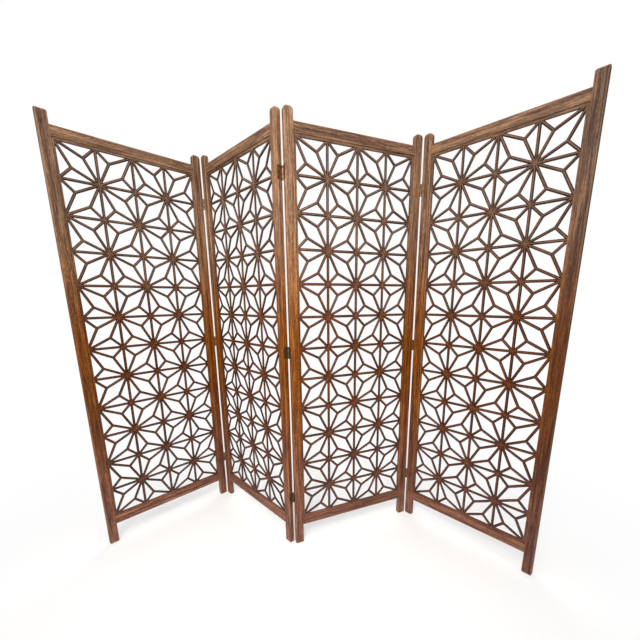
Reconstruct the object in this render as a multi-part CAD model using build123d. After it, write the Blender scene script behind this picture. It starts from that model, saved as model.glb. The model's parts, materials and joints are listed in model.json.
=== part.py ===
from build123d import *
import math
import os

# Four-panel folding wooden screen with a lattice of small bevelled sticks.
# Millimetres. +Z is up and the front faces -Y. The origin is on the floor, under the
# middle of the screen as it stands. Panels are numbered from the left, seen from the front.

os.makedirs("parts", exist_ok=True)

# ---- lattice ----
CELL = 133.6             # pitch of the square grid
CELLS_ACROSS = 4
CELLS_UP = 12
STICK_W = 11.0           # width of a stick, seen from the front
STICK_D = 10.5           # depth of a stick, from its front ridge to its back ridge
STICK_SIDE = 4.0         # height of the square side between the two bevels
BORDER_W = 9.5           # width of the strips round the lattice
SPUR_SHARE = 1 / 3       # a three-way joint stands this share of a cell away from its spur's hub

# ---- frame of a panel ----
STILE_W = 38.0
STILE_T = 22.0
STILE_ARRIS = 2.5        # rounding of the long edges of a stile
STILE_TOP_ROUND = 17.0   # rounding of the top of a stile, seen from the front
STILE_TOP_EASE = 8.0     # rounding of the same top, seen from the side
END_TOP_OUTER = 3.0      # the outermost stile at each end of the screen is nearly square on top:
END_TOP_INNER = 7.0      # these are the roundings of its outer and inner corner
FOOT_EASE = 5.0          # rounding of the bottom of a stile
HORN = 46.3              # length of stile above the top rail
FOOT = 94.0              # length of stile below the bottom rail
RAIL_H = 38.0
RAIL_T = 19.0
RAIL_ARRIS = 2.0
TENON_L = 24.0
TENON_H = 26.0
TENON_T = 7.0
MORTISE_SLACK = 0.5      # free depth behind the end of a tenon

# ---- hinges ----
HINGE_H = 50.0
HINGE_FROM_FLOOR = 237.0  # height of the bottom hinge's centre
HINGE_FROM_TOP = 218.0    # from the top of a stile down to the top hinge's centre
BARREL_R = 2.5
BARREL_CLEAR = 0.4       # free space round a barrel where it passes the other leaf
BARREL_STAND = 2.5       # distance from the face of a stile to the line of the pins
KNUCKLES = 5
KNUCKLE_GAP = 0.3
LEAF_T = 1.6             # the leaves are let into the stiles by as much
LEAF_FIT = 0.1           # clearance above and below a leaf in its recess
LEAF_MARGIN = 0.6        # a leaf stops this short of the far face of the stile
PIN_R = 1.25
PIN_CLEAR = 0.05
PIN_HEAD_R = 2.2
PIN_HEAD_H = 1.0
SCREW_R = 1.5
SCREW_HEAD_R = 2.8
SCREW_HEAD_H = 1.3
SCREW_L = 16.0
SCREW_POINT = 3.0
SCREW_FIT = 0.05         # clearance round a screw
SCREW_INSET = 8.0        # from the end of a leaf to its outer screws
SCREW_STAGGER = 3.0      # the outer screws' distance to one side of the middle of the leaf
SLOT_W = 0.8
SLOT_D = 0.6

# ---- how the screen stands ----
FOLDS = {"12": 92.0, "23": 69.0, "34": 69.0}   # angle folded at each joint, 0 is straight
PANEL_2_YAW = -45.0

# ---- sizes that follow ----
OPEN_W = CELLS_ACROSS * CELL + BORDER_W
OPEN_H = CELLS_UP * CELL + BORDER_W
PANEL_W = OPEN_W + 2 * STILE_W
STILE_L = FOOT + 2 * RAIL_H + OPEN_H + HORN
OPEN_Z = FOOT + RAIL_H
PIN_LINE = STILE_T / 2 + BARREL_STAND          # from the middle of a panel to the line of pins
PIN_FROM_EDGE = BARREL_R - LEAF_T              # from the edge of a stile to the same line
LEAF_W = BARREL_STAND + STILE_T - LEAF_MARGIN
KNUCKLE_PITCH = HINGE_H / KNUCKLES
HINGE_LEVELS = {"bottom": HINGE_FROM_FLOOR, "top": STILE_L - HINGE_FROM_TOP}
HINGE_LEVELS["middle"] = (HINGE_LEVELS["bottom"] + HINGE_LEVELS["top"]) / 2

# The pins stand on the side that folds shut: +1 is the back of the screen, -1 its front.
PIN_SIDE = {"12": -1, "23": 1, "34": -1}


def turned(point, angle):
    """A flat point turned about the origin by an angle in radians."""
    c, s = math.cos(angle), math.sin(angle)
    return point[0] * c - point[1] * s, point[0] * s + point[1] * c


def block(x0, x1, y0, y1, z0, z1):
    """A box between two corners, given in any order."""
    size = (abs(x1 - x0), abs(y1 - y0), abs(z1 - z0))
    middle = ((x0 + x1) / 2, (y0 + y1) / 2, (z0 + z1) / 2)
    return Pos(*middle) * Box(*size)


def rod(radius, z0, z1):
    """An upright cylinder on the Z axis."""
    return Pos(0, 0, (z0 + z1) / 2) * Cylinder(radius, abs(z1 - z0))


def upright_slab(outline, thickness):
    """A flat outline in X and Z made into a slab, half its thickness each side of Y = 0."""
    return extrude(Plane.XZ * outline, amount=thickness / 2, both=True)


def write_node(name, solids):
    """Each node is a group of one or more separate solids."""
    node = Compound(label=name, children=[piece for shape in solids for piece in shape.solids()])
    export_step(node, f"parts/{name}.step")


# ---------------------------------------------------------------- stiles and rails

def end_cuts(half_width, radii, level, way):
    """What comes off both corners of a bar's end, seen from the front, to round them.

    radii belong to the left and the right corner. The end is at the given level and faces up
    or down: way is +1 or -1.
    """
    cuts = []
    for side, radius in zip((-1, 1), radii):
        x, z = side * (half_width - radius), level - way * radius
        corner = block(x, side * (half_width + radius), -STILE_W, STILE_W, z, level + way * radius)
        cuts.append(corner - Pos(x, 0, z) * Rot(90, 0, 0) * Cylinder(radius, 4 * STILE_W))
    return cuts


def stile_blank(left_round, right_round):
    """One upright, in the middle of its own width and thickness, with its rounded ends.

    left_round and right_round are for the corners of its top, seen from the front.
    """
    rounds = [min(radius, 0.45 * STILE_W) for radius in (left_round, right_round)]
    eases = [min(STILE_TOP_EASE, 0.45 * STILE_T)] * 2
    foot_rounds = [FOOT_EASE] * 2
    bar = extrude(RectangleRounded(STILE_W, STILE_T, STILE_ARRIS), STILE_L)
    bar -= end_cuts(STILE_W / 2, rounds, STILE_L, 1)
    bar -= end_cuts(STILE_W / 2, foot_rounds, 0, -1)
    quarter_turn = Rot(0, 0, 90)
    bar -= [quarter_turn * cut for cut in end_cuts(STILE_T / 2, eases, STILE_L, 1)]
    bar -= [quarter_turn * cut for cut in end_cuts(STILE_T / 2, foot_rounds, 0, -1)]
    return bar


def stile(blank, rail_side, pin_side):
    """A stile with its mortises on rail_side, and recesses for its hinges across the other edge.

    pin_side is None where no hinge is fixed.
    """
    face = rail_side * STILE_W / 2
    floor_of_mortise = face - rail_side * (TENON_L + MORTISE_SLACK)
    cuts = []
    for middle in (FOOT + RAIL_H / 2, STILE_L - HORN - RAIL_H / 2):
        low, high = middle - TENON_H / 2, middle + TENON_H / 2
        cuts.append(block(face, floor_of_mortise, -TENON_T / 2, TENON_T / 2, low, high))
    if pin_side is not None:
        recess_floor = -face + rail_side * LEAF_T
        for level in HINGE_LEVELS.values():
            low, high = level - HINGE_H / 2 - LEAF_FIT, level + HINGE_H / 2 + LEAF_FIT
            cuts.append(block(-2 * face, recess_floor, -STILE_T, STILE_T, low, high))
            for y, z in screw_places(-pin_side):
                hole = rod(SCREW_R + SCREW_FIT, 0, SCREW_L + 1)
                place = Pos(-face, y + pin_side * PIN_LINE, level + z)
                cuts.append(place * Rot(0, rail_side * 90, 0) * hole)
    return blank - cuts


def rail():
    """One rail, lying along X from its left shoulder at X = 0, with a stub tenon at each end."""
    bar = extrude(Plane.YZ * RectangleRounded(RAIL_T, RAIL_H, RAIL_ARRIS), OPEN_W)
    tenons = block(-TENON_L, OPEN_W + TENON_L, -TENON_T / 2, TENON_T / 2, -TENON_H / 2, TENON_H / 2)
    return bar + tenons


# ---------------------------------------------------------------- lattice

def is_major(column, row):
    """Twelve sticks meet at a major hub and eight at a minor one. They take turns on the grid."""
    return (column + row) % 2 == 0


def clip(outline, point, inward):
    """Keeps the part of a convex outline on the inward side of a line through point."""
    kept = []
    for i, here in enumerate(outline):
        there = outline[(i + 1) % len(outline)]
        a = (here[0] - point[0]) * inward[0] + (here[1] - point[1]) * inward[1]
        b = (there[0] - point[0]) * inward[0] + (there[1] - point[1]) * inward[1]
        if a >= 0:
            kept.append(here)
        if a * b < 0:
            share = a / (a - b)
            kept.append(tuple(here[k] + share * (there[k] - here[k]) for k in (0, 1)))
    return kept


def lattice_lines():
    """The centre lines of the lattice by kind. Each runs between two points, given in X and Z."""
    lines = {"border": [], "grid": [], "petal": [], "spur": []}
    for column in range(CELLS_ACROSS + 1):
        for row in range(CELLS_UP + 1):
            here = (column * CELL, row * CELL)
            if column < CELLS_ACROSS:
                kind = "border" if row in (0, CELLS_UP) else "grid"
                lines[kind].append((here, ((column + 1) * CELL, row * CELL)))
            if row < CELLS_UP:
                kind = "border" if column in (0, CELLS_ACROSS) else "grid"
                lines[kind].append((here, (column * CELL, (row + 1) * CELL)))
    for column in range(CELLS_ACROSS):
        for row in range(CELLS_UP):
            for i, j in ((0, 0), (1, 0), (0, 1), (1, 1)):
                if is_major(column + i, row + j):
                    continue
                minor = ((column + i) * CELL, (row + j) * CELL)
                joint = (minor[0] + (1 - 2 * i) * SPUR_SHARE * CELL,
                         minor[1] + (1 - 2 * j) * SPUR_SHARE * CELL)
                lines["spur"].append((minor, joint))
                lines["petal"].append((((column + 1 - i) * CELL, (row + j) * CELL), joint))
                lines["petal"].append((((column + i) * CELL, (row + 1 - j) * CELL), joint))
    return lines


def heading(here, there):
    """Direction from one point to another, in radians from +X towards +Z."""
    return math.atan2(there[1] - here[1], there[0] - here[0])


def headings_by_point(lines):
    """The directions in which lines leave each point of the lattice."""
    found = {}
    for group in lines.values():
        for start, end in group:
            found.setdefault(start, []).append(heading(start, end))
            found.setdefault(end, []).append(heading(end, start))
    return found


def angles_to_next(headings, own):
    """The angles from one stick to its neighbours at a hub, anticlockwise and clockwise."""
    turns = [(other - own) % math.tau for other in headings]
    turns = [angle for angle in turns if 1e-6 < angle < math.tau - 1e-6]
    return min(turns), math.tau - max(turns)


def stick_outline(start, end, headings):
    """The front view of a stick in its own axes: it lies along +X, with +Z on its left.

    Its ends are mitred halfway to the next stick on either side, and the border cuts it off.
    """
    run, turn = math.dist(start, end), heading(start, end)
    half = STICK_W / 2
    left, right = angles_to_next(headings[start], turn)
    end_left, end_right = angles_to_next(headings[end], turn + math.pi)
    outline = [(0, -half), (run, -half), (run, half), (0, half)]
    outline = clip(outline, (0, 0), (math.sin(left / 2), -math.cos(left / 2)))
    outline = clip(outline, (0, 0), (math.sin(right / 2), math.cos(right / 2)))
    outline = clip(outline, (run, 0), (-math.sin(end_left / 2), math.cos(end_left / 2)))
    outline = clip(outline, (run, 0), (-math.sin(end_right / 2), -math.cos(end_right / 2)))
    near = BORDER_W / 2
    far = (CELLS_ACROSS * CELL - near, CELLS_UP * CELL - near)
    for point, inward in (((near, near), (1, 0)), ((near, near), (0, 1)),
                          (far, (-1, 0)), (far, (0, -1))):
        from_start = (point[0] - start[0], point[1] - start[1])
        outline = clip(outline, turned(from_start, -turn), turned(inward, -turn))
    return [here for i, here in enumerate(outline) if math.dist(here, outline[i - 1]) > 0.001]


STICKS_MADE = {}


def stick(start, end, headings):
    """A bevelled stick between two points of the lattice, which lies in the plane Y = 0."""
    outline = stick_outline(start, end, headings)
    key = tuple((round(x, 3), round(z, 3)) for x, z in outline)
    if key not in STICKS_MADE:
        half_w, half_d, half_side = STICK_W / 2, STICK_D / 2, STICK_SIDE / 2
        section = [(-half_d, 0), (-half_side, half_w), (half_side, half_w),
                   (half_d, 0), (half_side, -half_w), (-half_side, -half_w)]
        bar = extrude(Plane.YZ * make_face(Polyline(section, close=True)), math.dist(start, end))
        front_view = make_face(Polyline(outline, close=True))
        STICKS_MADE[key] = (bar & upright_slab(front_view, 2 * STICK_D)).solid()
    level = Rot(0, -math.degrees(heading(start, end)), 0)
    return Pos(start[0], 0, start[1]) * level * STICKS_MADE[key]


def border_strips():
    """Four strips round the lattice, mitred at the corners. They fill the frame's opening."""
    low = -BORDER_W / 2
    right, high = OPEN_W + low, OPEN_H + low
    outer = [(low, low), (right, low), (right, high), (low, high)]
    inner = [(low + BORDER_W, low + BORDER_W), (right - BORDER_W, low + BORDER_W),
             (right - BORDER_W, high - BORDER_W), (low + BORDER_W, high - BORDER_W)]
    strips = []
    for i in range(4):
        k = (i + 1) % 4
        outline = make_face(Polyline([outer[i], outer[k], inner[k], inner[i]], close=True))
        strips.append(upright_slab(outline, STICK_D))
    return strips


# ---------------------------------------------------------------- hinges

def screw_places(way):
    """Centres of a leaf's three screws, from the middle of the pin. The leaf runs to way * Y."""
    middle = way * PIN_LINE
    end = HINGE_H / 2 - SCREW_INSET
    return [(middle - SCREW_STAGGER, -end), (middle + SCREW_STAGGER, 0), (middle - SCREW_STAGGER, end)]


def leaf(side, way, own_knuckles):
    """One leaf about the middle of its pin, with the hinge shut: side is the stile's side in X."""
    half = HINGE_H / 2
    outside = side * BARREL_R
    inside = side * PIN_FROM_EDGE
    root = way * (BARREL_R + BARREL_CLEAR)
    shape = block(inside, outside, root, way * LEAF_W, -half, half)
    for i in own_knuckles:
        low = -half + i * KNUCKLE_PITCH + (KNUCKLE_GAP / 2 if i > 0 else 0)
        high = -half + (i + 1) * KNUCKLE_PITCH - (KNUCKLE_GAP / 2 if i < KNUCKLES - 1 else 0)
        shape += rod(BARREL_R, low, high)
        shape += block(inside, outside, 0, root, low, high)
    shape -= rod(PIN_R + PIN_CLEAR, -half - 1, half + 1)
    for y, z in screw_places(way):
        sink = Cone(SCREW_R + SCREW_FIT, SCREW_HEAD_R + SCREW_FIT, SCREW_HEAD_H)
        hole = Pos(0, 0, -SCREW_HEAD_H / 2) * sink + rod(SCREW_R + SCREW_FIT, -LEAF_T - 1, 0)
        shape -= Pos(inside, y, z) * Rot(0, -side * 90, 0) * hole
    return shape


def screw():
    """A slotted countersunk screw, pointing down from the flat of its head at Z = 0."""
    head = Pos(0, 0, -SCREW_HEAD_H / 2) * Cone(SCREW_R, SCREW_HEAD_R, SCREW_HEAD_H)
    shank = rod(SCREW_R, -SCREW_L + SCREW_POINT, -SCREW_HEAD_H)
    point = Pos(0, 0, -SCREW_L + SCREW_POINT / 2) * Cone(SCREW_R / 5, SCREW_R, SCREW_POINT)
    slot = block(-SCREW_HEAD_R, SCREW_HEAD_R, -SLOT_W / 2, SLOT_W / 2, -SLOT_D, 1)
    return (head + shank + point) - slot


def pin():
    """A hinge pin with a low head at each end."""
    half = HINGE_H / 2
    heads = rod(PIN_HEAD_R, half, half + PIN_HEAD_H) + rod(PIN_HEAD_R, -half - PIN_HEAD_H, -half)
    return rod(PIN_R, -half, half) + heads


# ---------------------------------------------------------------- how the panels stand

def chain(yaw, corner, here, next_yaw, there):
    """The corner of the next panel, whose point there meets this panel's point here."""
    x, y = turned(here, math.radians(yaw))
    dx, dy = turned(there, math.radians(next_yaw))
    return corner[0] + x - dx, corner[1] + y - dy


def stand():
    """Yaw and left end of each panel, with the origin under the middle of the whole screen."""
    yaws = {2: PANEL_2_YAW}
    yaws[1] = yaws[2] - PIN_SIDE["12"] * FOLDS["12"]
    yaws[3] = yaws[2] + PIN_SIDE["23"] * FOLDS["23"]
    yaws[4] = yaws[3] + PIN_SIDE["34"] * FOLDS["34"]
    left = {side: (-PIN_FROM_EDGE, side * PIN_LINE) for side in (-1, 1)}
    right = {side: (PANEL_W + PIN_FROM_EDGE, side * PIN_LINE) for side in (-1, 1)}
    ends = {2: (0.0, 0.0)}
    s12, s23, s34 = PIN_SIDE["12"], PIN_SIDE["23"], PIN_SIDE["34"]
    ends[1] = chain(yaws[2], ends[2], left[s12], yaws[1], right[s12])
    ends[3] = chain(yaws[2], ends[2], right[s23], yaws[3], left[s23])
    ends[4] = chain(yaws[3], ends[3], right[s34], yaws[4], left[s34])
    xs, ys = [], []
    inset = STILE_T / 2 - STILE_ARRIS
    for number, (x, y) in ends.items():
        for corner in ((STILE_ARRIS, -inset), (STILE_ARRIS, inset),
                       (PANEL_W - STILE_ARRIS, -inset), (PANEL_W - STILE_ARRIS, inset)):
            dx, dy = turned(corner, math.radians(yaws[number]))
            xs.append(x + dx)
            ys.append(y + dy)
    shift = ((min(xs) + max(xs)) / 2, (min(ys) + max(ys)) / 2)
    return yaws, {n: (x - shift[0], y - shift[1]) for n, (x, y) in ends.items()}


YAWS, ENDS = stand()
PLACES = {n: Location((ENDS[n][0], ENDS[n][1], 0), (0, 0, YAWS[n])) for n in YAWS}


def build_panel(number, shared):
    """Writes the wooden nodes of one panel."""
    place = PLACES[number]
    name = f"panel_{number}"
    left_pin = PIN_SIDE.get(f"{number - 1}{number}")
    right_pin = PIN_SIDE.get(f"{number}{number + 1}")
    left_blank = shared["left_end_blank" if left_pin is None else "blank"]
    right_blank = shared["right_end_blank" if right_pin is None else "blank"]
    left = Pos(STILE_W / 2, 0, 0) * stile(left_blank, 1, left_pin)
    right = Pos(PANEL_W - STILE_W / 2, 0, 0) * stile(right_blank, -1, right_pin)
    write_node(f"{name}_left_stile", [place * left])
    write_node(f"{name}_right_stile", [place * right])
    rail_low = Pos(STILE_W, 0, FOOT + RAIL_H / 2)
    rail_high = Pos(STILE_W, 0, STILE_L - HORN - RAIL_H / 2)
    write_node(f"{name}_bottom_rail", [place * rail_low * shared["rail"]])
    write_node(f"{name}_top_rail", [place * rail_high * shared["rail"]])
    lattice = place * Pos(STILE_W + BORDER_W / 2, 0, OPEN_Z + BORDER_W / 2)
    for group in ("border_strips", "grid_sticks", "petal_sticks", "spur_sticks"):
        write_node(f"{name}_{group}", [lattice * piece for piece in shared[group]])


def build_joint(name):
    """Writes the leaves and pins of the three hinges at one joint, and returns its screws."""
    first, second = int(name[0]), int(name[1])
    side = PIN_SIDE[name]
    outer = [i for i in range(KNUCKLES) if i % 2 == 0]
    inner = [i for i in range(KNUCKLES) if i % 2 == 1]
    screws = {first: [], second: []}
    pins = []
    for level_name, level in HINGE_LEVELS.items():
        at_first = PLACES[first] * Pos(PANEL_W + PIN_FROM_EDGE, side * PIN_LINE, level)
        at_second = PLACES[second] * Pos(-PIN_FROM_EDGE, side * PIN_LINE, level)
        hinge = f"hinge_{name}_{level_name}"
        write_node(f"{hinge}_left_leaf", [at_first * leaf(-1, -side, outer)])
        write_node(f"{hinge}_right_leaf", [at_second * leaf(1, -side, inner)])
        pins.append(at_first * pin())
        for y, z in screw_places(-side):
            left = Pos(-PIN_FROM_EDGE, y, z) * Rot(0, 90, 0) * screw()
            right = Pos(PIN_FROM_EDGE, y, z) * Rot(0, -90, 0) * screw()
            screws[first].append(at_first * left)
            screws[second].append(at_second * right)
    write_node(f"hinge_{name}_pins", pins)
    return screws


lattice = lattice_lines()
hub_headings = headings_by_point(lattice)
SHARED = {
    "blank": stile_blank(STILE_TOP_ROUND, STILE_TOP_ROUND),
    "left_end_blank": stile_blank(END_TOP_OUTER, END_TOP_INNER),
    "right_end_blank": stile_blank(END_TOP_INNER, END_TOP_OUTER),
    "rail": rail(),
    "border_strips": border_strips(),
}
for kind in ("grid", "petal", "spur"):
    SHARED[f"{kind}_sticks"] = [stick(*line, hub_headings) for line in lattice[kind]]
for panel_number in PLACES:
    build_panel(panel_number, SHARED)

all_screws = {number: [] for number in PLACES}
for joint_name in FOLDS:
    for panel_number, found in build_joint(joint_name).items():
        all_screws[panel_number] += found
for panel_number, found in all_screws.items():
    write_node(f"panel_{panel_number}_hinge_screws", found)

print("panel", PANEL_W, "by", STILE_L, "by", STILE_T)
for joint_name in FOLDS:
    panel = int(joint_name[0])
    from_end = (PANEL_W + PIN_FROM_EDGE, PIN_SIDE[joint_name] * PIN_LINE)
    pin_x, pin_y = turned(from_end, math.radians(YAWS[panel]))
    print("pins", joint_name, round(ENDS[panel][0] + pin_x, 3), round(ENDS[panel][1] + pin_y, 3))
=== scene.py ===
import json
import math
import random
from collections import namedtuple

import bpy
from mathutils import Matrix, Vector


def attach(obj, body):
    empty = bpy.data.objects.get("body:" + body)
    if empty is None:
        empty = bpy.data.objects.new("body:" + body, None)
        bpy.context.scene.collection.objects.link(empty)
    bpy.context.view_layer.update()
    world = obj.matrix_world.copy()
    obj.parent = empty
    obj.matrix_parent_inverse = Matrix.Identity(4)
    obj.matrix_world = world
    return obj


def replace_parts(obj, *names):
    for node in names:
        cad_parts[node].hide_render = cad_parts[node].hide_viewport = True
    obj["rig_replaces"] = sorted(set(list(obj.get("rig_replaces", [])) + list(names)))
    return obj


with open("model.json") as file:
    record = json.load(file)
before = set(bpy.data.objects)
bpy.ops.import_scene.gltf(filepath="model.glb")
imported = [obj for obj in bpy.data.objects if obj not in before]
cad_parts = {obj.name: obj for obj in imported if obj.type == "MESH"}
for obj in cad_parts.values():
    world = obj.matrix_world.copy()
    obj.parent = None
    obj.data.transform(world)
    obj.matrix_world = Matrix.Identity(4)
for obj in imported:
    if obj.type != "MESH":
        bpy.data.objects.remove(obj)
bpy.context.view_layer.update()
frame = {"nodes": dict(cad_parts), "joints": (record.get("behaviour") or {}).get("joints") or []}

# A four-panel folding screen of oiled teak. The frames are planed bars with rounded edges,
# and the lattice is glued up of small bevelled sticks, mitred where they meet.
# Sizes are in millimetres, and MM turns them into the scene's metres.

MM = 0.001

# ---- lattice ----
CELL = 133.6
CELLS_ACROSS = 4
CELLS_UP = 12
STICK_W = 11.0
SPUR_SHARE = 1 / 3       # a three-way joint lies this share of a cell across and up from its hub
BORDER_W = 9.5

# ---- frame of a panel ----
STILE_W = 38.0
STILE_T = 22.0
STILE_ARRIS = 2.5
STILE_TOP_ROUND = 17.0   # rounding of the top of a stile, seen from the front
STILE_TOP_EASE = 8.0     # rounding of the same top, seen from the side
END_TOP_OUTER = 3.0      # the outermost stile at each end of the screen is nearly square on top
END_TOP_INNER = 7.0
FOOT_EASE = 5.0
RAIL_H = 38.0
RAIL_T = 19.0
RAIL_ARRIS = 2.0
RAIL_END_EASE = 0.35     # the ends of a rail are eased by this much
RAIL_END_RUN = 0.5       # over this length
HORN = 46.3              # length of stile above the top rail
FOOT = 94.0              # length of stile below the bottom rail

# ---- hinges ----
HINGE_H = 50.0
HINGE_FROM_FLOOR = 237.0
HINGE_FROM_TOP = 218.0
BARREL_R = 2.5
BARREL_STAND = 2.5       # distance from the face of a stile to the line of the pins
LEAF_T = 1.6
LEAF_FIT = 0.1           # clearance above and below a leaf in its recess

# ---- sizes that follow ----
OPEN_W = CELLS_ACROSS * CELL + BORDER_W
OPEN_H = CELLS_UP * CELL + BORDER_W
PANEL_W = OPEN_W + 2 * STILE_W
STILE_L = FOOT + 2 * RAIL_H + OPEN_H + HORN
PIN_LINE = STILE_T / 2 + BARREL_STAND
PIN_FROM_EDGE = BARREL_R - LEAF_T
HINGE_LOW, HINGE_HIGH = HINGE_FROM_FLOOR, STILE_L - HINGE_FROM_TOP
HINGE_LEVELS = (HINGE_LOW, (HINGE_LOW + HINGE_HIGH) / 2, HINGE_HIGH)

# How each panel stands: its turn, the pins it hangs on, and where those are on the panel.
PANELS = {
    1: (47.0, "fold_12", PANEL_W + PIN_FROM_EDGE, -PIN_LINE),
    2: (-45.0, "fold_12", -PIN_FROM_EDGE, -PIN_LINE),
    3: (24.0, "fold_23", -PIN_FROM_EDGE, PIN_LINE),
    4: (-45.0, "fold_34", -PIN_FROM_EDGE, -PIN_LINE),
}


def panel_place(number):
    """Where a panel stands. Its own axes start at the foot of its left edge, in its middle plane."""
    turn, joint_name, x, y = PANELS[number]
    joint = next(j for j in frame["joints"] if j["name"] == joint_name)
    pins = Vector((joint["pos_m"][0], joint["pos_m"][1], 0))
    return Matrix.Translation(pins) @ Matrix.Rotation(math.radians(turn), 4, "Z") @ \
        Matrix.Translation((-x * MM, -y * MM, 0))


# ---------------------------------------------------------------- shader parts

def colour(text):
    """An sRGB colour such as "8a5a32" as linear RGBA."""
    parts = [int(text[i:i + 2], 16) / 255 for i in (0, 2, 4)]
    return tuple(c / 12.92 if c <= 0.04045 else ((c + 0.055) / 1.055) ** 2.4 for c in parts) + (1,)


def add(tree, kind, links=None, values=None, stops=(), **settings):
    """Adds a node, with its settings, its sockets' values, its colour stops and what feeds it."""
    node = tree.nodes.new("ShaderNode" + kind)
    for name, value in settings.items():
        setattr(node, name, value)
    for socket, value in (values or {}).items():
        node.inputs[socket].default_value = value
    for socket, source in (links or {}).items():
        tree.links.new(source, node.inputs[socket])
    for i, (at, shade) in enumerate(stops):
        elements = node.color_ramp.elements
        element = elements[i] if i < len(elements) else elements.new(at)
        element.position = at
        element.color = colour(shade)
    return node


def new_material(name):
    """An empty material with its shader. Returns the material, its tree and the shader."""
    material = bpy.data.materials.new(name)
    material.use_nodes = True
    tree = material.node_tree
    tree.nodes.clear()
    shader = add(tree, "BsdfPrincipled")
    add(tree, "OutputMaterial", links={"Surface": shader.outputs["BSDF"]})
    return material, tree, shader


# ---------------------------------------------------------------- wood

# Marks in the wood: their length along the grain and their width across it, in mm, how much
# finer detail they hold, and how far they wander. Teak's own pores are about 0.3 mm wide. These
# are as coarse as they need to be to show.
GROWTH_BANDS = (240.0, 12.0, 3.0, 0.6)
STREAKS = (60.0, 1.8, 4.0, 0.0)
FLECKS = (14.0, 3.2, 2.0, 0.0)
PORES = (9.0, 1.2, 2.0, 0.0)

# The figure adds up bands, streaks and a share of the flecks. The wood has its dark colour
# where that sum is FIGURE_DARK and its light one at FIGURE_LIGHT.
FLECK_SHARE = 0.55
FIGURE_DARK, FIGURE_LIGHT = 1.0, 1.55
PORE_EDGE, PORE_CORE = 0.57, 0.70    # where in their noise pores begin, and are darkest
PORE_MOST = 0.42
PORE_SHADE = "2a1206"
# painted shade: the colour of the painted shade on the sides of sticks and edges of strips, and of
# dark joints
DIRT_AND_SHADE = "200c04"
GRAIN_DEPTH = 0.25       # in mm, at full strength
GRAIN_STRENGTH = 0.35
STREAK_LOW, STREAK_HIGH = 0.35, 0.65
SHINIER, DULLER = 0.07, 0.09         # how far the streaks lower and raise the roughness
OILED_SHEEN = 0.22

# The tone of a plank runs from 0, the darkest, to 1. It is drawn at random from COMMON_TONE
# up, and given for the outermost stile at each end of the screen.
COMMON_TONE = 0.3
END_TONES = {1: 0.6, 4: 0.0}
TONES = ((0.0, "beb2a8"), (COMMON_TONE, "dcd2ca"), (1.0, "ffffff"))

# Painted light by height, in shares of a stile's length: paler and greyer towards the top between
# the first two, and paler, greyer and redder below the third.
PALE_TOP_FROM, PALE_TOP_FULL, DULL_BELOW = 0.5, 0.85, 0.45
DULL_MOST = 0.85
HUE_DULLED, HUE_PALE_TOP = 0.493, 0.515
LIGHT_BY_HEIGHT_SATURATION = 0.7
LIGHT_BY_HEIGHT_LIGHTNESS = 1.3


def grain_marks(tree, grain, along, across, detail, wander):
    """Marks of one kind in the wood, as noise drawn out along the grain."""
    scaled = add(tree, "VectorMath", links={0: grain}, operation="MULTIPLY",
                 values={1: (1 / along, 1 / across, 1 / across)})
    noise = add(tree, "TexNoise", links={"Vector": scaled.outputs["Vector"]},
                values={"Scale": 1.0, "Detail": detail, "Roughness": 0.55,
                        "Distortion": wander})
    return noise.outputs["Fac"]


def aged(tree, unlit_colour, height):
    """The colour of wood with light painted in by height: paler and greyer towards the top and the
    floor.
    """
    pale_top = add(tree, "MapRange", links={"Value": height}, interpolation_type="SMOOTHSTEP",
                   values={"From Min": PALE_TOP_FROM, "From Max": PALE_TOP_FULL}).outputs["Result"]
    dulled = add(tree, "MapRange", links={"Value": height}, interpolation_type="SMOOTHSTEP",
                 values={"From Min": DULL_BELOW, "From Max": 0.0,
                         "To Max": DULL_MOST}).outputs["Result"]
    either = add(tree, "Math", links={0: pale_top, 1: dulled}, operation="MAXIMUM").outputs[0]
    balance = add(tree, "Math", links={0: pale_top, 1: dulled}, operation="SUBTRACT").outputs[0]
    hue = add(tree, "MapRange", links={"Value": balance},
              values={"From Min": -1.0, "To Min": HUE_DULLED, "To Max": HUE_PALE_TOP})
    saturation = add(tree, "MapRange", links={"Value": either},
                     values={"To Min": 1.0, "To Max": LIGHT_BY_HEIGHT_SATURATION})
    lightness = add(tree, "MapRange", links={"Value": either},
                    values={"To Min": 1.0, "To Max": LIGHT_BY_HEIGHT_LIGHTNESS})
    shown = add(tree, "HueSaturation", links={"Color": unlit_colour,
                                              "Hue": hue.outputs["Result"],
                                              "Saturation": saturation.outputs["Result"],
                                              "Value": lightness.outputs["Result"]})
    return shown.outputs["Color"]


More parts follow.
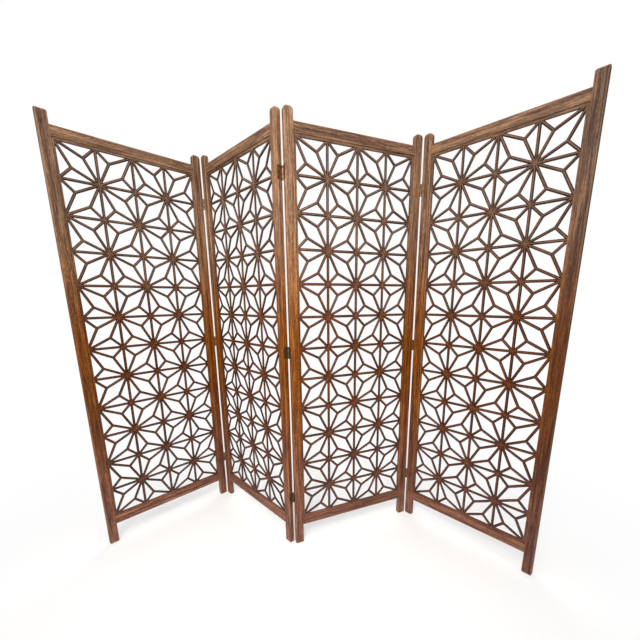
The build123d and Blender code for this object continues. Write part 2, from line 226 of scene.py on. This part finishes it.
def wood(name, dark, middle, light, wear_and_ridge_highlight_strength, dirt_and_shade_strength, roughness):
    """Oiled teak: planed with the grain, sanded, and oiled by hand to a dull satin.

    Broad growth bands, narrow streaks and short flecks run along each piece, with open pores as
    dark dashes between them. Every piece was cut from its own plank and has its own tone. Light is
    painted in by height: paler and greyer towards the top, and paler, greyer and redder towards the
    floor.
    The fifth and sixth arguments say how far worn edges, and the ridges with their painted
    highlight, turn pale, and how far joints, and the sides and edges painted with shade, turn dark.
    """
    material, tree, shader = new_material(name)
    grain = add(tree, "Attribute", attribute_name="grain").outputs["Vector"]
    tone, wear, dirt_and_shade, height = [add(tree, "Attribute", attribute_name=carried).outputs["Fac"]
                                 for carried in ("tone", "wear", "dirt_and_shade", "height")]
    bands, streaks, flecks, pores = [grain_marks(tree, grain, *marks)
                                     for marks in (GROWTH_BANDS, STREAKS, FLECKS, PORES)]
    coarse = add(tree, "Math", links={0: bands, 1: streaks}, operation="ADD")
    figure = add(tree, "Math", links={0: flecks, 2: coarse.outputs[0]}, operation="MULTIPLY_ADD",
                 values={1: FLECK_SHARE})
    figure = add(tree, "MapRange", links={"Value": figure.outputs[0]},
                 values={"From Min": FIGURE_DARK, "From Max": FIGURE_LIGHT})
    planed = add(tree, "ValToRGB", links={"Fac": figure.outputs["Result"]},
                 stops=((0.0, dark), (0.5, middle), (1.0, light)))
    plank = add(tree, "ValToRGB", links={"Fac": tone}, stops=TONES)
    toned = add(tree, "Mix", data_type="RGBA", blend_type="MULTIPLY", values={"Factor": 1.0},
                links={"A": planed.outputs["Color"], "B": plank.outputs["Color"]})
    # wear and painted highlight: worn edges are painted paler, and the ridges of the lattice sticks
    # too
    wear_and_ridge_highlight_share = add(tree, "Math", links={0: wear}, operation="MULTIPLY", values={1: wear_and_ridge_highlight_strength})
    # painted shade: the sides of sticks and the edges of strips are painted darker, and joints are
    # dark
    dirt_and_shade_share = add(tree, "Math", links={0: dirt_and_shade}, operation="MULTIPLY", values={1: dirt_and_shade_strength})
    pits = add(tree, "MapRange", links={"Value": pores},
               values={"From Min": PORE_EDGE, "From Max": PORE_CORE, "To Max": PORE_MOST})
    shade = toned.outputs["Result"]
    for share, over in ((wear_and_ridge_highlight_share.outputs[0], light), (dirt_and_shade_share.outputs[0], DIRT_AND_SHADE),
                        (pits.outputs["Result"], PORE_SHADE)):
        layer = add(tree, "Mix", data_type="RGBA", links={"Factor": share, "A": shade},
                    values={"B": colour(over)})
        shade = layer.outputs["Result"]
    # painted light: the colour is made paler and greyer towards the top and the floor
    tree.links.new(aged(tree, shade, height), shader.inputs["Base Color"])
    rough = add(tree, "MapRange", links={"Value": streaks},
                values={"From Min": STREAK_LOW, "From Max": STREAK_HIGH,
                        "To Min": roughness - SHINIER, "To Max": roughness + DULLER})
    tree.links.new(rough.outputs["Result"], shader.inputs["Roughness"])
    relief = add(tree, "Math", links={0: streaks, 1: pits.outputs["Result"]}, operation="SUBTRACT")
    bump = add(tree, "Bump", links={"Height": relief.outputs[0]},
               values={"Strength": GRAIN_STRENGTH, "Distance": GRAIN_DEPTH * MM})
    tree.links.new(bump.outputs["Normal"], shader.inputs["Normal"])
    shader.inputs["Specular IOR Level"].default_value = OILED_SHEEN
    return material


# ---------------------------------------------------------------- brass

TARNISH_PATCH = 11.111   # width of a patch, in mm
BRASS_GRIT = 1.1111      # real grit is finer, and this is as coarse as it needs to be to show
GRIT_DEPTH = 0.05
TARNISH = ((0.3, "5e4a38"), (0.55, "83694e"), (0.8, "a68d68"))
DULL_BRASS, RUBBED_BRASS = 0.52, 0.32


def aged_brass():
    """Brass: stamped and drawn, left bare, dulled brown by handling and paler where it rubs."""
    material, tree, shader = new_material("brass, aged")
    place = add(tree, "TexCoord").outputs["Object"]
    patches = add(tree, "TexNoise", links={"Vector": place},
                  values={"Scale": 1 / (TARNISH_PATCH * MM), "Detail": 4.0, "Roughness": 0.6})
    grit = add(tree, "TexNoise", links={"Vector": place},
               values={"Scale": 1 / (BRASS_GRIT * MM), "Detail": 2.0, "Roughness": 0.5})
    tarnish = add(tree, "ValToRGB", links={"Fac": patches.outputs["Fac"]}, stops=TARNISH)
    tree.links.new(tarnish.outputs["Color"], shader.inputs["Base Color"])
    rough = add(tree, "MapRange", links={"Value": patches.outputs["Fac"]},
                values={"From Min": 0.3, "From Max": 0.7,
                        "To Min": DULL_BRASS, "To Max": RUBBED_BRASS})
    tree.links.new(rough.outputs["Result"], shader.inputs["Roughness"])
    bump = add(tree, "Bump", links={"Height": grit.outputs["Fac"]},
               values={"Strength": 0.15, "Distance": GRIT_DEPTH * MM})
    tree.links.new(bump.outputs["Normal"], shader.inputs["Normal"])
    shader.inputs["Metallic"].default_value = 1.0
    return material


FRAME_WOOD = wood("teak, oiled frame", "381702", "6a3402", "a05d12", 0.25, 0.6, 0.54)
# the lattice: its ridges painted paler, as wear and a painted highlight, its sides darker, as
# painted shade
LATTICE_WOOD = wood("teak, oiled lattice", "280d02", "4e1f04", "844412", 0.6, 1.0, 0.56)
BRASS = aged_brass()


# ---------------------------------------------------------------- mesh building

PLANK_SPREAD = 4000.0    # how far apart in the wood's pattern the pieces are cut
SHARP_DEGREES = 34       # edges that turn by more than this stay sharp


class Pile:
    """Gathers pieces into one mesh. Each point keeps its place in the plank it was cut from."""

    def __init__(self, rng):
        self.rng = rng
        self.points, self.faces = [], []
        self.grain, self.tone, self.wear, self.dirt_and_shade = [], [], [], []

    def piece(self, points, faces, grain, wear, dirt_and_shade, place):
        """Adds one piece, given in its own axes in mm.

        grain holds where each of its points is in the wood, with X along the grain.
        """
        first = len(self.points)
        plank = [self.rng.uniform(0, PLANK_SPREAD) for _ in range(3)]
        tone = COMMON_TONE + (1 - COMMON_TONE) * self.rng.random()
        for point, where, wear_and_ridge_highlight_share, dirt_and_shade_value in zip(points, grain, wear, dirt_and_shade):
            self.points.append(place @ Vector(point))
            self.grain.append([a + b for a, b in zip(where, plank)])
            self.tone.append(tone)
            self.wear.append(wear_and_ridge_highlight_share)
            self.dirt_and_shade.append(dirt_and_shade_value)
        self.faces += [[first + i for i in face] for face in faces]

    def build(self, name, panel, material, nodes):
        """Makes the object, which stands for the CAD nodes and rides with its panel."""
        mesh = bpy.data.meshes.new(name)
        mesh.from_pydata([point * MM for point in self.points], [], self.faces)
        height = [point.z / STILE_L for point in self.points]
        for kind, values in (("tone", self.tone), ("wear", self.wear), ("dirt_and_shade", self.dirt_and_shade),
                             ("height", height)):
            mesh.attributes.new(kind, "FLOAT", "POINT").data.foreach_set("value", values)
        flat = [value for where in self.grain for value in where]
        mesh.attributes.new("grain", "FLOAT_VECTOR", "POINT").data.foreach_set("vector", flat)
        mesh.materials.append(material)
        mesh.shade_smooth()
        mesh.set_sharp_from_angle(angle=math.radians(SHARP_DEGREES))
        mesh.transform(panel_place(panel))
        obj = bpy.data.objects.new(name, mesh)
        bpy.context.scene.collection.objects.link(obj)
        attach(obj, f"panel_{panel}")
        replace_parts(obj, *nodes)


# ---------------------------------------------------------------- lattice lines

def clip(outline, point, inward):
    """Keeps the part of a convex outline on the inward side of a line through point."""
    kept = []
    for i, here in enumerate(outline):
        there = outline[(i + 1) % len(outline)]
        a = (here[0] - point[0]) * inward[0] + (here[1] - point[1]) * inward[1]
        b = (there[0] - point[0]) * inward[0] + (there[1] - point[1]) * inward[1]
        if a >= 0:
            kept.append(here)
        if a * b < 0:
            share = a / (a - b)
            kept.append(tuple(here[k] + share * (there[k] - here[k]) for k in (0, 1)))
    return kept


def lattice_lines():
    """The lattice's centre lines by kind. Each runs between two points, given in X and Z.

    Twelve sticks meet at a major hub and eight at a minor one. They take turns on the grid.
    """
    lines = {"border": [], "grid": [], "petal": [], "spur": []}
    for column in range(CELLS_ACROSS + 1):
        for row in range(CELLS_UP + 1):
            here = (column * CELL, row * CELL)
            if column < CELLS_ACROSS:
                kind = "border" if row in (0, CELLS_UP) else "grid"
                lines[kind].append((here, ((column + 1) * CELL, row * CELL)))
            if row < CELLS_UP:
                kind = "border" if column in (0, CELLS_ACROSS) else "grid"
                lines[kind].append((here, (column * CELL, (row + 1) * CELL)))
    for column in range(CELLS_ACROSS):
        for row in range(CELLS_UP):
            for i, j in ((0, 0), (1, 0), (0, 1), (1, 1)):
                if (column + i + row + j) % 2 == 0:
                    continue
                minor = ((column + i) * CELL, (row + j) * CELL)
                joint = (minor[0] + (1 - 2 * i) * SPUR_SHARE * CELL,
                         minor[1] + (1 - 2 * j) * SPUR_SHARE * CELL)
                lines["spur"].append((minor, joint))
                lines["petal"].append((((column + 1 - i) * CELL, (row + j) * CELL), joint))
                lines["petal"].append((((column + i) * CELL, (row + 1 - j) * CELL), joint))
    return lines


def heading(here, there):
    """Direction from one point to another, in radians from +X towards +Z."""
    return math.atan2(there[1] - here[1], there[0] - here[0])


def headings_by_point(lines):
    """The directions in which lines leave each point of the lattice."""
    found = {}
    for group in lines.values():
        for start, end in group:
            found.setdefault(start, []).append(heading(start, end))
            found.setdefault(end, []).append(heading(end, start))
    return found


def angles_to_next(headings, own):
    """The angles from one stick to its neighbours at a hub, anticlockwise and clockwise."""
    turns = [(other - own) % math.tau for other in headings]
    turns = [angle for angle in turns if 1e-6 < angle < math.tau - 1e-6]
    return min(turns), math.tau - max(turns)


def stick_outline(start, end, headings):
    """The front view of a stick in its own axes: it lies along +X, with +Z on its left."""
    run, turn = math.dist(start, end), heading(start, end)
    half = STICK_W / 2
    left, right = angles_to_next(headings[start], turn)
    end_left, end_right = angles_to_next(headings[end], turn + math.pi)
    outline = [(0, -half), (run, -half), (run, half), (0, half)]
    outline = clip(outline, (0, 0), (math.sin(left / 2), -math.cos(left / 2)))
    outline = clip(outline, (0, 0), (math.sin(right / 2), math.cos(right / 2)))
    outline = clip(outline, (run, 0), (-math.sin(end_left / 2), math.cos(end_left / 2)))
    outline = clip(outline, (run, 0), (-math.sin(end_right / 2), -math.cos(end_right / 2)))
    near = BORDER_W / 2
    far = (CELLS_ACROSS * CELL - near, CELLS_UP * CELL - near)
    c, s = math.cos(turn), math.sin(turn)
    for point, (x, z) in (((near, near), (1, 0)), ((near, near), (0, 1)),
                          (far, (-1, 0)), (far, (0, -1))):
        dx, dz = point[0] - start[0], point[1] - start[1]
        outline = clip(outline, (dx * c + dz * s, dz * c - dx * s), (x * c + z * s, z * c - x * s))
    return [here for i, here in enumerate(outline) if math.dist(here, outline[i - 1]) > 0.001]


# ---------------------------------------------------------------- sticks

# Half the section of a stick: distance from its middle line, depth of its surface there, and
# how much it is painted paler: worn by a hand or cloth, and on the ridge also a painted highlight.
# The ridge and the edges are worn round.
RIDGED = ((0.0, 5.0, 1.0), (0.45, 4.88, 0.9), (1.0, 4.57, 0.4), (1.4, 4.32, 0.2),
          (4.4, 2.45, 0.1), (4.85, 2.17, 0.1), (5.35, 1.85, 0.35), (STICK_W / 2, 1.5, 0.15))
# The strips round the opening are the same thickness, but flat with eased edges.
FLAT = ((0.0, 5.25, 0.1), (3.6, 5.25, 0.15), (4.3, 5.16, 0.7), (4.66, 4.8, 0.7),
        (BORDER_W / 2, 4.1, 0.2))
JOINT_EASE = 0.8         # how far from a mitre the glue line and its groove reach
JOINT_SINK = 0.18        # depth of that groove
SLIP = 0.12              # how far a stick may have been glued in front of the others or behind
ROW = 4                  # points along a stick, on each side of each level


def span(outline, z):
    """Where a level line crosses a convex outline."""
    found = []
    for i, (x1, z1) in enumerate(outline):
        x0, z0 = outline[i - 1]
        if min(z0, z1) - 1e-6 <= z <= max(z0, z1) + 1e-6:
            share = [0, 1] if abs(z1 - z0) < 1e-6 else [(z - z0) / (z1 - z0)]
            found += [x0 + min(max(t, 0), 1) * (x1 - x0) for t in share]
    return min(found), max(found)


def surface(section, away):
    """Depth of a section at a distance from its middle line, and how much it is painted paler there.
    """
    for (z0, y0, w0), (z1, y1, w1) in zip(section, section[1:]):
        if z0 - 1e-9 <= away <= z1 + 1e-9:
            break
    t = (away - z0) / (z1 - z0)
    return y0 + t * (y1 - y0), w0 + t * (w1 - w0)


def stick_faces(level_count):
    """The faces of a stick. Each of its levels holds a row of points in front and one behind."""
    faces = []
    for k in range(level_count - 1):
        a, b = 2 * ROW * k, 2 * ROW * (k + 1)
        for i in range(ROW - 1):
            faces.append((a + i, a + i + 1, b + i + 1, b + i))
            faces.append((a + ROW + i, b + ROW + i, b + ROW + i + 1, a + ROW + i + 1))
        faces.append((a, b, b + ROW, a + ROW))
        faces.append((a + ROW - 1, a + 2 * ROW - 1, b + 2 * ROW - 1, b + ROW - 1))
    last = 2 * ROW * (level_count - 1)
    for i in range(ROW - 1):
        faces.append((i, i + ROW, i + ROW + 1, i + 1))
        faces.append((last + i, last + i + 1, last + i + ROW + 1, last + i + ROW))
    return faces


def stick_piece(pile, outline, section, shade, blur, place):
    """One stick, as strips along it that follow its section and stop at its mitres.

    shade is how dark the painted shade on its sides is, and a low blur spreads that towards its
    middle.
    """
    half = section[-1][0]
    levels = sorted({s * z for z, _, _ in section for s in (-1, 1)} |
                    {round(z, 6) for _, z in outline if abs(z) < half - 0.05})
    levels = [z for i, z in enumerate(levels) if i == 0 or z - levels[i - 1] > 1e-4]
    sink = pile.rng.uniform(-SLIP, SLIP)
    points, grain, wear, dirt_and_shade = [], [], [], []
    for z in levels:
        depth, wear_and_ridge_highlight_share = surface(section, abs(z))
        low, high = span(outline, z)
        ease = min(JOINT_EASE, (high - low) / 3)
        for side in (-1, 1):
            for i, x in enumerate((low, low + ease, high - ease, high)):
                at_joint = i in (0, ROW - 1)
                y = side * (depth - (JOINT_SINK if at_joint else 0)) + sink
                points.append((x, y, z))
                grain.append((x, y, z))
                # its ridge is painted paler, as wear and a painted highlight
                wear.append(0.0 if at_joint else wear_and_ridge_highlight_share)
                # painted shade: its sides are painted darker towards their edges; its mitres are
                # dark glue lines
                dirt_and_shade.append(1.0 if at_joint else shade * (abs(z) / half) ** blur)
    pile.piece(points, stick_faces(len(levels)), grain, wear, dirt_and_shade, place)


def border_outlines():
    """The four strips round the lattice, each as its own outline and where it goes."""
    low = -BORDER_W / 2
    wide, high = OPEN_W, OPEN_H
    for x, z, turn, run in ((low, low, 0, wide), (low + wide, low, 90, high),
                            (low + wide, low + high, 180, wide), (low, low + high, 270, high)):
        outline = [(0, 0), (run, 0), (run - BORDER_W, BORDER_W), (BORDER_W, BORDER_W)]
        centred = [(a, b - BORDER_W / 2) for a, b in outline]
        up = Matrix.Rotation(-math.radians(turn), 4, "Y")
        yield centred, Matrix.Translation((x, 0, z)) @ up @ Matrix.Translation((0, 0, BORDER_W / 2))


# ---------------------------------------------------------------- bars

ARC_POINTS = 5           # points round each long edge of a bar
ROUND_LIMIT = 0.8        # a rounding takes at most this share of half the bar
REACH_LIMIT = 0.45       # and its rub this share of the flat that is left
RUB_REACH = 2.0          # how far past its rounding an edge is rubbed
RUB_MOST = 0.8
FOOT_RUB = 0.3
TOP_RUB = 0.35
TOP_STEPS = 10
FOOT_PLAIN = 12.0        # a stile has no wear from this height
TOP_PLAIN = 40.0         # to this far below its top
RAIL_PLAIN = 30.0        # and a rail is plain from this far off its ends

# One level of a bar. A notch is cut straight across one of its edges, and shift is how far the
# level's middle lies to the right of the bar's.
Station = namedtuple("Station", "level half_w half_t wear notch shift", defaults=(0.0, 0.0, 0.0))


def bar_loop(half_w, half_t, radius):
    """A rounded rectangle as points in X and Y, each with how much its edge is worn."""
    radius = min(radius, ROUND_LIMIT * half_w, ROUND_LIMIT * half_t)
    reach = min(RUB_REACH, REACH_LIMIT * (half_w - radius), REACH_LIMIT * (half_t - radius))
    loop = []
    for quarter, (sx, sy) in enumerate(((1, 1), (-1, 1), (-1, -1), (1, -1))):
        cx, cy = sx * (half_w - radius), sy * (half_t - radius)
        begin = math.pi / 2 * quarter
        arc = [(cx + radius * math.cos(begin + math.pi / 2 * i / (ARC_POINTS - 1)),
                cy + radius * math.sin(begin + math.pi / 2 * i / (ARC_POINTS - 1)), 1.0)
               for i in range(ARC_POINTS)]
        down, across = (0.0, sy * reach), (sx * reach, 0.0)
        before, after = (down, across) if quarter % 2 == 0 else (across, down)
        loop.append((arc[0][0] - before[0], arc[0][1] - before[1], 0.0))
        loop += arc
        loop.append((arc[-1][0] - after[0], arc[-1][1] - after[1], 0.0))
    return loop


def bar_piece(pile, stations, radius, place, end_grime=0.0, notch_side=0):
    """A bar along +Z through its stations, with its notches in the edge on notch_side."""
    points, grain, wear, dirt_and_shade, rings = [], [], [], [], []
    for i, at in enumerate(stations):
        ring = []
        for k, (x, y, edge) in enumerate(bar_loop(at.half_w, at.half_t, radius)):
            if notch_side * x > at.half_w - at.notch:
                x, edge = notch_side * (at.half_w - at.notch), 0.0
            x += at.shift
            if rings and points[rings[-1][k]] == (x, y, at.level):
                ring.append(rings[-1][k])
                continue
            ring.append(len(points))
            points.append((x, y, at.level))
            grain.append((at.level, x, y))
            wear.append(max(RUB_MOST * edge, at.wear))
            dirt_and_shade.append(end_grime if i in (0, len(stations) - 1) else 0.0)
        rings.append(ring)
    faces = [rings[0][::-1], rings[-1]]
    for low, high in zip(rings, rings[1:]):
        for i in range(len(low)):
            corners = (low[i - 1], low[i], high[i], high[i - 1])
            face = [corner for n, corner in enumerate(corners) if corner != corners[n - 1]]
            if len(face) > 2:
                faces.append(face)
    pile.piece(points, faces, grain, wear, dirt_and_shade, place)


def rounded_off(level, radius):
    """How far a stile's rounded top stands in from its full size at a level."""
    over = max(0.0, 1 - (STILE_L - level) / radius)
    return radius * (1 - math.sqrt(max(0.0, 1 - over * over)))


def stile_stations(hinged, left_round, right_round):
    """Levels of a stile, with its eased foot, its hinge recesses and its rounded top."""
    half_w, half_t = STILE_W / 2, STILE_T / 2
    stations = []
    for degrees in (0, 30, 60, 90):
        a = math.radians(degrees)
        less = FOOT_EASE * (1 - math.sin(a))
        level = FOOT_EASE * (1 - math.cos(a))
        stations.append(Station(level, half_w - less, half_t - less, wear=FOOT_RUB))
    stations.append(Station(FOOT_PLAIN, half_w, half_t))
    for level in HINGE_LEVELS if hinged else ():
        low, high = level - HINGE_H / 2 - LEAF_FIT, level + HINGE_H / 2 + LEAF_FIT
        stations += [Station(z, half_w, half_t, notch=cut) for z, cut in
                     ((low, 0.0), (low, LEAF_T), (high, LEAF_T), (high, 0.0))]
    stations.append(Station(STILE_L - TOP_PLAIN, half_w, half_t))
    tallest = max(left_round, right_round, STILE_TOP_EASE)
    for step in range(TOP_STEPS + 1):
        level = STILE_L - tallest * (1 - math.sin(math.pi / 2 * step / TOP_STEPS))
        left, right = rounded_off(level, left_round), rounded_off(level, right_round)
        stations.append(Station(level, half_w - (left + right) / 2,
                                half_t - rounded_off(level, STILE_TOP_EASE),
                                wear=TOP_RUB * step / TOP_STEPS, shift=(left - right) / 2))
    return stations


def rail_stations():
    """Levels of a rail, from one shoulder to the other."""
    near = ((0.0, RAIL_END_EASE), (RAIL_END_RUN, 0.0), (RAIL_PLAIN, 0.0))
    far = tuple((OPEN_W - x, less) for x, less in reversed(near))
    return [Station(x, RAIL_H / 2 - less, RAIL_T / 2 - less) for x, less in near + far]


# ---------------------------------------------------------------- the screen

SEED = 100
RAIL_GRIME = 0.8
# painted shade: how dark the edges of the strips and the sides of the sticks are painted, and how
# far in it reaches
STRIP_SHADE, STRIP_BLUR = 0.8, 6
STICK_SHADE, STICK_BLUR = 1.0, 1

lattice = lattice_lines()
hub_headings = headings_by_point(lattice)
lattice_place = Matrix.Translation((STILE_W + BORDER_W / 2, 0, FOOT + RAIL_H + BORDER_W / 2))
# a rail is a bar laid down: its length along X, its width upright
lay_down = Matrix(((0, 0, 1, 0), (0, 1, 0, 0), (-1, 0, 0, 0), (0, 0, 0, 1)))

for number in PANELS:
    name = f"panel_{number}"
    rng = random.Random(SEED + number)
    for side, x, way, hinged in (("left", STILE_W / 2, -1, number > 1),
                                 ("right", PANEL_W - STILE_W / 2, 1, number < len(PANELS))):
        pile = Pile(rng)
        place = Matrix.Translation((x, 0, 0))
        rounds = (STILE_TOP_ROUND, STILE_TOP_ROUND)
        if not hinged:
            rounds = (END_TOP_OUTER, END_TOP_INNER)[::-way]
        bar_piece(pile, stile_stations(hinged, *rounds), STILE_ARRIS, place, notch_side=way)
        if not hinged:
            pile.tone = [END_TONES[number]] * len(pile.tone)
        pile.build(f"{name}_{side}_upright", number, FRAME_WOOD, [f"{name}_{side}_stile"])
    for which, z in (("bottom", FOOT + RAIL_H / 2), ("top", STILE_L - HORN - RAIL_H / 2)):
        pile = Pile(rng)
        place = Matrix.Translation((STILE_W, 0, z)) @ lay_down
        bar_piece(pile, rail_stations(), RAIL_ARRIS, place, end_grime=RAIL_GRIME)
        pile.build(f"{name}_{which}_bar", number, FRAME_WOOD, [f"{name}_{which}_rail"])
    pile = Pile(rng)
    for outline, place in border_outlines():
        stick_piece(pile, outline, FLAT, STRIP_SHADE, STRIP_BLUR, lattice_place @ place)
    pile.build(f"{name}_strips", number, FRAME_WOOD, [f"{name}_border_strips"])
    for kind in ("grid", "petal", "spur"):
        pile = Pile(rng)
        for start, end in lattice[kind]:
            turn = Matrix.Rotation(-heading(start, end), 4, "Y")
            place = lattice_place @ Matrix.Translation((start[0], 0, start[1])) @ turn
            outline = stick_outline(start, end, hub_headings)
            stick_piece(pile, outline, RIDGED, STICK_SHADE, STICK_BLUR, place)
        pile.build(f"{name}_{kind}s", number, LATTICE_WOOD, [f"{name}_{kind}_sticks"])

for node, obj in frame["nodes"].items():
    if node.startswith("hinge_") or node.endswith("_hinge_screws"):
        obj.data.materials.clear()
        obj.data.materials.append(BRASS)


# ---------------------------------------------------------------- floor and background

FLOOR_REACH = 30000.0    # from the middle to each side
FADE_FROM, FADE_TO = 700.0, 2000.0
FADE_LEAST = 0.3
SKY_LIGHT = 0.4

reach = FLOOR_REACH * MM
corners = [(x * reach, y * reach, 0) for x, y in ((-1, -1), (1, -1), (1, 1), (-1, 1))]
floor_mesh = bpy.data.meshes.new("floor")
floor_mesh.from_pydata(corners, [], [(0, 1, 2, 3)])
floor = bpy.data.objects.new("floor", floor_mesh)
bpy.context.scene.collection.objects.link(floor)
floor_material, floor_tree, floor_shader = new_material("floor, matt white paint")
floor_shader.inputs["Base Color"].default_value = colour("f6f6f5")
floor_shader.inputs["Roughness"].default_value = 0.9
floor_shader.inputs["Specular IOR Level"].default_value = 0.1
# away from the screen, where no shadow falls, the floor runs out into the white background
spot = add(floor_tree, "TexCoord").outputs["Object"]
away = add(floor_tree, "VectorMath", links={0: spot}, operation="LENGTH").outputs["Value"]
fade = add(floor_tree, "MapRange", links={"Value": away}, interpolation_type="SMOOTHSTEP",
           values={"From Min": FADE_FROM * MM, "From Max": FADE_TO * MM, "To Min": FADE_LEAST})
seen = add(floor_tree, "LightPath").outputs["Is Camera Ray"]
share = add(floor_tree, "Math", links={0: fade.outputs["Result"], 1: seen}, operation="MULTIPLY")
glow = add(floor_tree, "Emission", values={"Color": (1, 1, 1, 1), "Strength": 1.0})
ground = add(floor_tree, "MixShader",
             links={0: share.outputs[0], 1: floor_shader.outputs[0], 2: glow.outputs[0]})
floor_out = next(n for n in floor_tree.nodes if n.type == "OUTPUT_MATERIAL")
floor_tree.links.new(ground.outputs[0], floor_out.inputs["Surface"])
floor_mesh.materials.append(floor_material)

world = bpy.data.worlds.new("studio")
bpy.context.scene.world = world
world.use_nodes = True
sky = world.node_tree
sky.nodes.clear()
seen = add(sky, "LightPath").outputs["Is Camera Ray"]
bright = add(sky, "Background", values={"Color": (1, 1, 1, 1), "Strength": 1.0})
soft = add(sky, "Background", values={"Color": colour("f6f8ff"), "Strength": SKY_LIGHT})
both = add(sky, "MixShader", links={0: seen, 1: soft.outputs[0], 2: bright.outputs[0]})
add(sky, "OutputWorld", links={"Surface": both.outputs[0]})


# ---------------------------------------------------------------- lamps and camera

def soft_box(name, place, target, size, power, shade, beam=180):
    """A large soft lamp aimed at a point. power is in watts, and beam is how wide it shines."""
    lamp = bpy.data.lights.new(name, "AREA")
    lamp.shape = "RECTANGLE"
    lamp.size, lamp.size_y = [side * MM for side in size]
    lamp.energy = power
    lamp.spread = math.radians(beam)
    lamp.color = colour(shade)[:3]
    obj = bpy.data.objects.new(name, lamp)
    bpy.context.scene.collection.objects.link(obj)
    obj.location = [along * MM for along in place]
    obj.rotation_euler = (Vector(target) - Vector(place)).to_track_quat("-Z", "Y").to_euler()


soft_box("top", (0, -600, 4200), (0, 0, 0), (4000, 3600), 100, "ffffff")
soft_box("key", (-300, -2100, 2200), (0, 0, 1000), (1000, 1000), 18, "fff6ea", 80)
soft_box("fill", (-2600, -3000, 1800), (0, 0, 900), (2200, 2000), 22, "fff6ea")
soft_box("back", (0, 3400, 2400), (0, 0, 900), (2400, 2000), 55, "ffffff")

CAMERA_PLACE = (117.0, -1516.4, 1146.3)
CAMERA_YAW, CAMERA_PITCH, CAMERA_ROLL = 0.777, -13.074, -0.346

lens = bpy.data.cameras.new("camera")
camera = bpy.data.objects.new("camera", lens)
bpy.context.scene.collection.objects.link(camera)
bpy.context.scene.camera = camera
lens.sensor_width = 36.0
lens.lens = 18.79
lens.shift_x = -0.0124
lens.shift_y = 0.0882
lens.clip_end = 100
camera.matrix_world = Matrix.Translation([along * MM for along in CAMERA_PLACE]) @ \
    Matrix.Rotation(math.radians(CAMERA_YAW), 4, "Z") @ \
    Matrix.Rotation(math.radians(90 + CAMERA_PITCH), 4, "X") @ \
    Matrix.Rotation(math.radians(CAMERA_ROLL), 4, "Z")

bpy.context.scene.view_settings.view_transform = "Standard"
